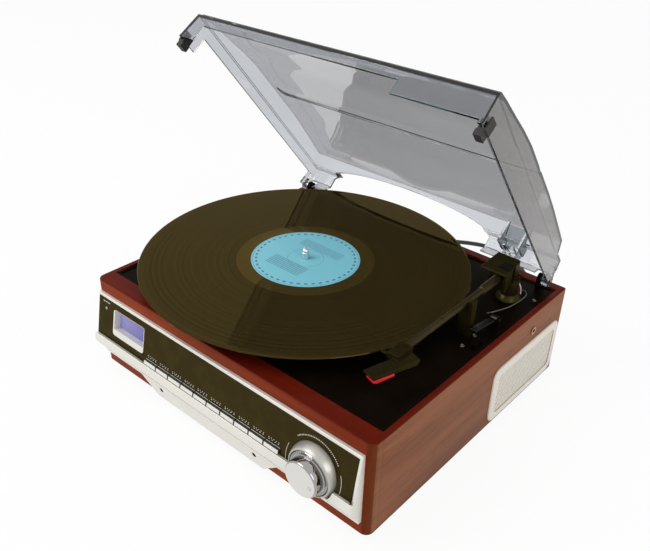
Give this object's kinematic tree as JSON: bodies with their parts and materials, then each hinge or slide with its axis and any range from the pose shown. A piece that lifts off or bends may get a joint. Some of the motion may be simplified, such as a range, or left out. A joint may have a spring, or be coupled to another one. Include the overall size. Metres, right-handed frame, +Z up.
{
  "type": "record player",
  "caption": "Retro table record player: veneered cabinet with a sloping silver control front, keys and a dial, belt-driven platter with tonearm and record, smoked clear lid standing open.",
  "frame": {"origin": "bottom centre of the player's box with its lid open, on the surface that it stands on, the mains lead left out", "axes": "+Z up, -Y towards the control front, +X to the right of a user who faces the front"},
  "size_m": [0.3406, 0.4829, 0.3117],
  "materials": {
    "veneer": "reddish brown veneer under satin lacquer",
    "fibreboard": "raw dark fibreboard",
    "rubber": "matt black rubber",
    "circuit_board": "green solder mask",
    "steel": "plain steel",
    "black_plastic": "fine satin black moulding",
    "gloss_black": "polished black panel",
    "brass": "turned brass",
    "chrome": "bright plated",
    "vinyl": "pressed black vinyl with fine grooves",
    "label_paper": "plain pale blue paper",
    "led_plastic": "clear lens",
    "silver_plastic": "satin silver lacquer on plastic",
    "screen": "blue violet display window",
    "white_plastic": "cream white moulding",
    "red_plastic": "bright red moulding",
    "smoked_plastic": "clear smoked acrylic"
  },
  "bodies": {
    "player": {"cabinet": "veneer", "base_panel": "fibreboard", "foot_front_left": "rubber", "foot_front_right": "rubber", "foot_rear_left": "rubber", "foot_rear_right": "rubber", "main_board": "circuit_board", "transformer": "steel", "deck_plate": "black_plastic", "spindle_bearing": "brass", "motor": "steel", "drive_belt": "rubber", "front_fascia": "silver_plastic", "control_panel": "gloss_black", "power_led": "led_plastic", "display_bezel": "silver_plastic", "display_screen": "screen", "key_board": "circuit_board", "dial_collar": "silver_plastic", "volume_encoder": "steel", "grille_right": "white_plastic", "grille_left": "white_plastic", "speaker_right": "black_plastic", "speaker_left": "black_plastic", "side_socket": "brass", "tonearm_base": "black_plastic", "arm_rest": "black_plastic", "hinge_base": "black_plastic", "strain_relief": "rubber", "cord_lead": "rubber", "cord_coil": "rubber", "plug": "black_plastic"},
    "turntable": {"platter": "black_plastic", "slip_mat": "rubber", "record": "vinyl", "record_label": "label_paper", "spindle": "chrome"},
    "pulley": {"motor_pulley": "brass"},
    "arm_head": {"tonearm_hood": "black_plastic"},
    "arm_tube": {"tonearm_tube": "black_plastic", "headshell": "black_plastic", "stylus": "red_plastic"},
    "cue": {"cue_lever": "steel"},
    "speed": {"speed_switch": "black_plastic"},
    "cover": {"lid": "smoked_plastic", "lid_bracket": "chrome", "bumper_left": "rubber", "bumper_right": "rubber"},
    "dial": {"volume_knob": "chrome", "volume_shaft": "steel"},
    "key_1": {"key_1": "silver_plastic"},
    "key_2": {"key_2": "silver_plastic"},
    "key_3": {"key_3": "silver_plastic"},
    "key_4": {"key_4": "silver_plastic"},
    "key_5": {"key_5": "silver_plastic"},
    "key_6": {"key_6": "silver_plastic"},
    "key_7": {"key_7": "silver_plastic"},
    "key_8": {"key_8": "silver_plastic"},
    "key_9": {"key_9": "silver_plastic"},
    "key_10": {"key_10": "silver_plastic"}
  },
  "joints": [
    {"name": "lid_hinge", "type": "hinge", "parent": "player", "child": "cover", "pos_m": [0.0072, 0.13733, 0.105], "axis": [1, 0, 0], "range_deg": [0, 50.45]},
    {"name": "platter_spin", "type": "hinge", "parent": "player", "child": "turntable", "pos_m": [-0.0195, 0.00293, 0.1], "axis": [0, 0, -1], "continuous": true},
    {"name": "motor_spin", "type": "hinge", "parent": "player", "child": "pulley", "pos_m": [-0.07349, 0.06728, 0.1], "axis": [0, 0, -1], "continuous": true},
    {"name": "tonearm_swing", "type": "hinge", "parent": "player", "child": "arm_head", "pos_m": [0.1372, 0.10033, 0.11], "axis": [0, 0, -1], "range_deg": [0, 39]},
    {"name": "arm_lift", "type": "hinge", "parent": "arm_head", "child": "arm_tube", "pos_m": [0.1372, 0.10033, 0.1258], "axis": [-1, 0, 0], "range_deg": [0, 2.5]},
    {"name": "cue_turn", "type": "hinge", "parent": "player", "child": "cue", "pos_m": [0.1495, 0.05633, 0.1005], "axis": [-1, 0, 0], "range_deg": [0, 36]},
    {"name": "speed_slide", "type": "slide", "parent": "player", "child": "speed", "axis": [0, 1, 0], "range_m": [0, 0.009]},
    {"name": "dial_turn", "type": "hinge", "parent": "player", "child": "dial", "pos_m": [0.1216, -0.14, 0.05], "axis": [0, -1, 0], "continuous": true},
    {"name": "key_1_press", "type": "slide", "parent": "player", "child": "key_1", "axis": [0, 0.9826, -0.1857], "range_m": [0, 0.0012], "stiffness_N_per_m": 300},
    {"name": "key_2_press", "type": "slide", "parent": "player", "child": "key_2", "axis": [0, 0.9826, -0.1857], "range_m": [0, 0.0012], "stiffness_N_per_m": 300},
    {"name": "key_3_press", "type": "slide", "parent": "player", "child": "key_3", "axis": [0, 0.9826, -0.1857], "range_m": [0, 0.0012], "stiffness_N_per_m": 300},
    {"name": "key_4_press", "type": "slide", "parent": "player", "child": "key_4", "axis": [0, 0.9826, -0.1857], "range_m": [0, 0.0012], "stiffness_N_per_m": 300},
    {"name": "key_5_press", "type": "slide", "parent": "player", "child": "key_5", "axis": [0, 0.9826, -0.1857], "range_m": [0, 0.0012], "stiffness_N_per_m": 300},
    {"name": "key_6_press", "type": "slide", "parent": "player", "child": "key_6", "axis": [0, 0.9826, -0.1857], "range_m": [0, 0.0012], "stiffness_N_per_m": 300},
    {"name": "key_7_press", "type": "slide", "parent": "player", "child": "key_7", "axis": [0, 0.9826, -0.1857], "range_m": [0, 0.0012], "stiffness_N_per_m": 300},
    {"name": "key_8_press", "type": "slide", "parent": "player", "child": "key_8", "axis": [0, 0.9826, -0.1857], "range_m": [0, 0.0012], "stiffness_N_per_m": 300},
    {"name": "key_9_press", "type": "slide", "parent": "player", "child": "key_9", "axis": [0, 0.9826, -0.1857], "range_m": [0, 0.0012], "stiffness_N_per_m": 300},
    {"name": "key_10_press", "type": "slide", "parent": "player", "child": "key_10", "axis": [0, 0.9826, -0.1857], "range_m": [0, 0.0012], "stiffness_N_per_m": 300}
  ],
  "couplings": [
    {"joint": "motor_spin", "follows": "platter_spin", "ratio": 10.83},
    {"joint": "cue_turn", "follows": "arm_lift", "ratio": 14.4}
  ]
}
